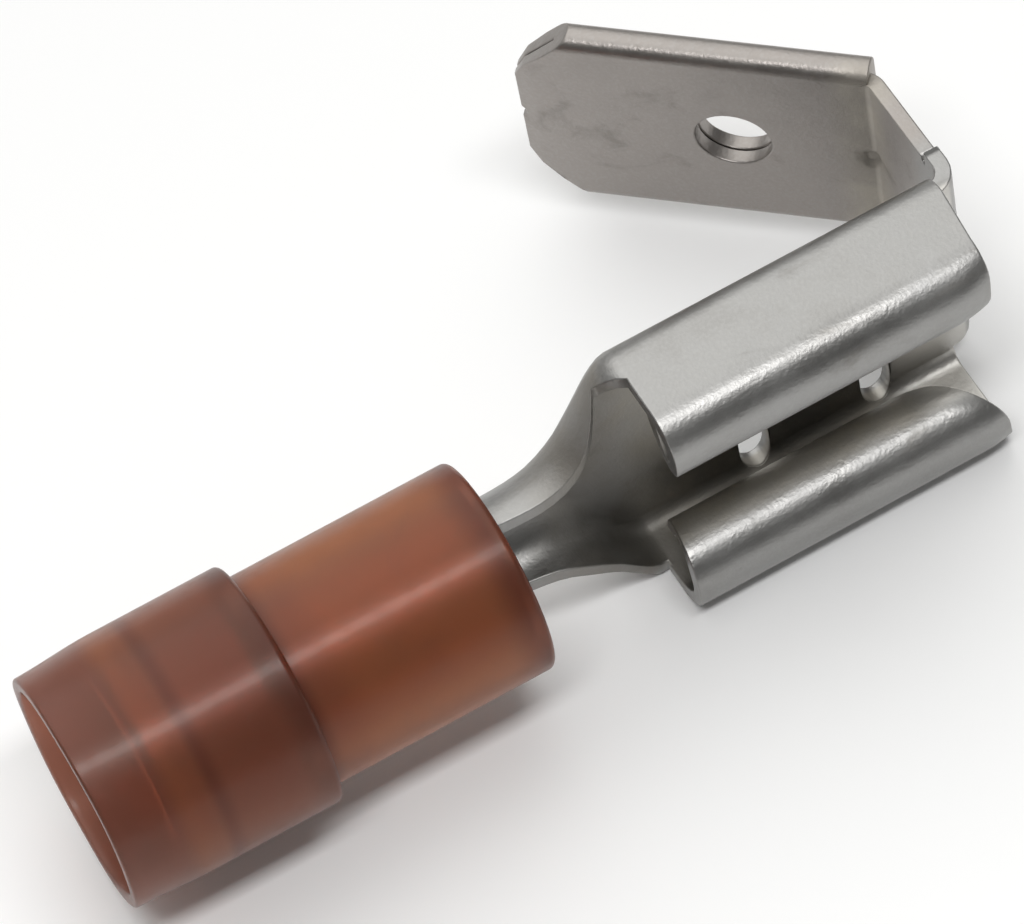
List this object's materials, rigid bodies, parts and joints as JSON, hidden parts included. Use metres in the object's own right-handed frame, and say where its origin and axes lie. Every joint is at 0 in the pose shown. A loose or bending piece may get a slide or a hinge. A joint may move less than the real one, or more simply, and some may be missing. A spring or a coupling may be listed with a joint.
{
  "type": "piggyback female spade terminal",
  "caption": "Insulated crimp connector: female blade receptacle with rolled lips, a male tab folded back over it and a stepped nylon sleeve over the wire barrel.",
  "frame": {"origin": "on the wire barrel's axis at the open mouth of the sleeve, where the wire goes in", "axes": "+X along the barrel's axis towards the receptacle, +Y towards the folded tab, +Z across the width and up as the connector lies on its side"},
  "size_m": [0.0249, 0.0145, 0.0078],
  "materials": {
    "tinned_sheet": "tin-plated brass sheet, satin",
    "copper": "copper tube, satin",
    "nylon": "translucent red-brown nylon"
  },
  "bodies": {
    "root": {"terminal": "tinned_sheet", "support_ferrule": "copper", "insulation_sleeve": "nylon"}
  },
  "joints": []
}
